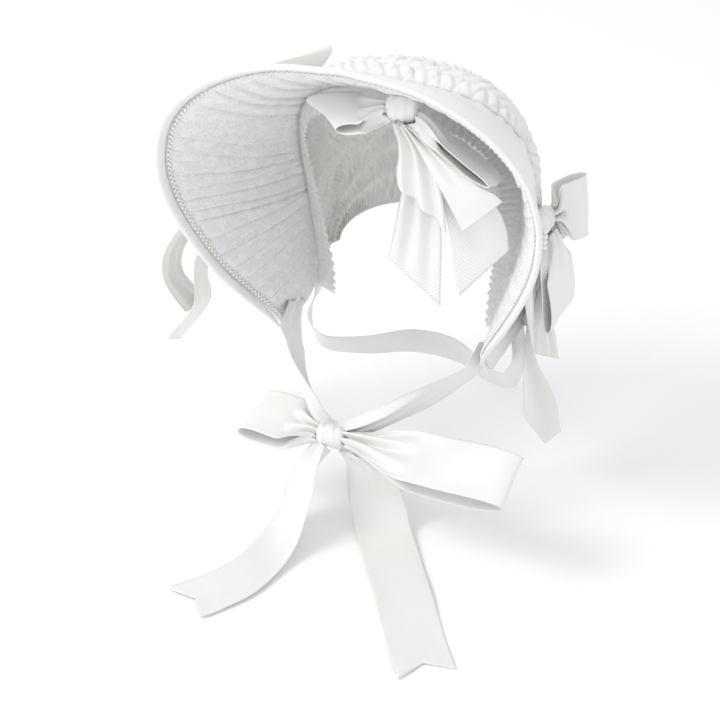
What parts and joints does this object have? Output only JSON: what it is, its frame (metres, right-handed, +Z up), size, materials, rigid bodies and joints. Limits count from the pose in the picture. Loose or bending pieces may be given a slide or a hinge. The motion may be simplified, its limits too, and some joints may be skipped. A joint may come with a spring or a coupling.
{
  "type": "poke bonnet",
  "caption": "White poke bonnet with a flared stiff brim, pleated lace lining, gathered crown and satin ribbon bows, tied under the chin.",
  "frame": {"origin": "head seat: the point inside the crown that rests on top of the wearer's head", "axes": "+Z up, the wearer faces -Y, +X is the wearer's left"},
  "size_m": [0.3732, 0.3936, 0.4323],
  "materials": {
    "satin": "smooth white satin with a soft sheen",
    "cotton": "matt white cotton, shirred",
    "lace": "white floral lace over cloth",
    "pearl": "imitation pearl"
  },
  "bodies": {
    "root": {"bead_line": "pearl", "brim_lining": "lace", "brim_shell": "satin", "chin_knot": "satin", "chin_loop_left": "satin", "chin_loop_right": "satin", "chin_strap": "satin", "chin_tail_left": "satin", "chin_tail_right": "satin", "crown": "cotton", "inner_knot": "satin", "inner_loop_left": "satin", "inner_loop_right": "satin", "inner_tail_lower_left": "satin", "inner_tail_lower_right": "satin", "inner_tail_upper_left": "satin", "inner_tail_upper_right": "satin", "left_knot": "satin", "left_loop_back": "satin", "left_loop_low": "satin", "left_pearls": "pearl", "left_tail_back": "satin", "left_tail_long": "satin", "nape_ribbon": "satin", "opening_frill": "lace", "right_knot": "satin", "right_loop_back": "satin", "right_loop_top": "satin", "right_tail_front": "satin", "right_tail_out": "satin", "rim_binding": "satin"}
  },
  "joints": []
}
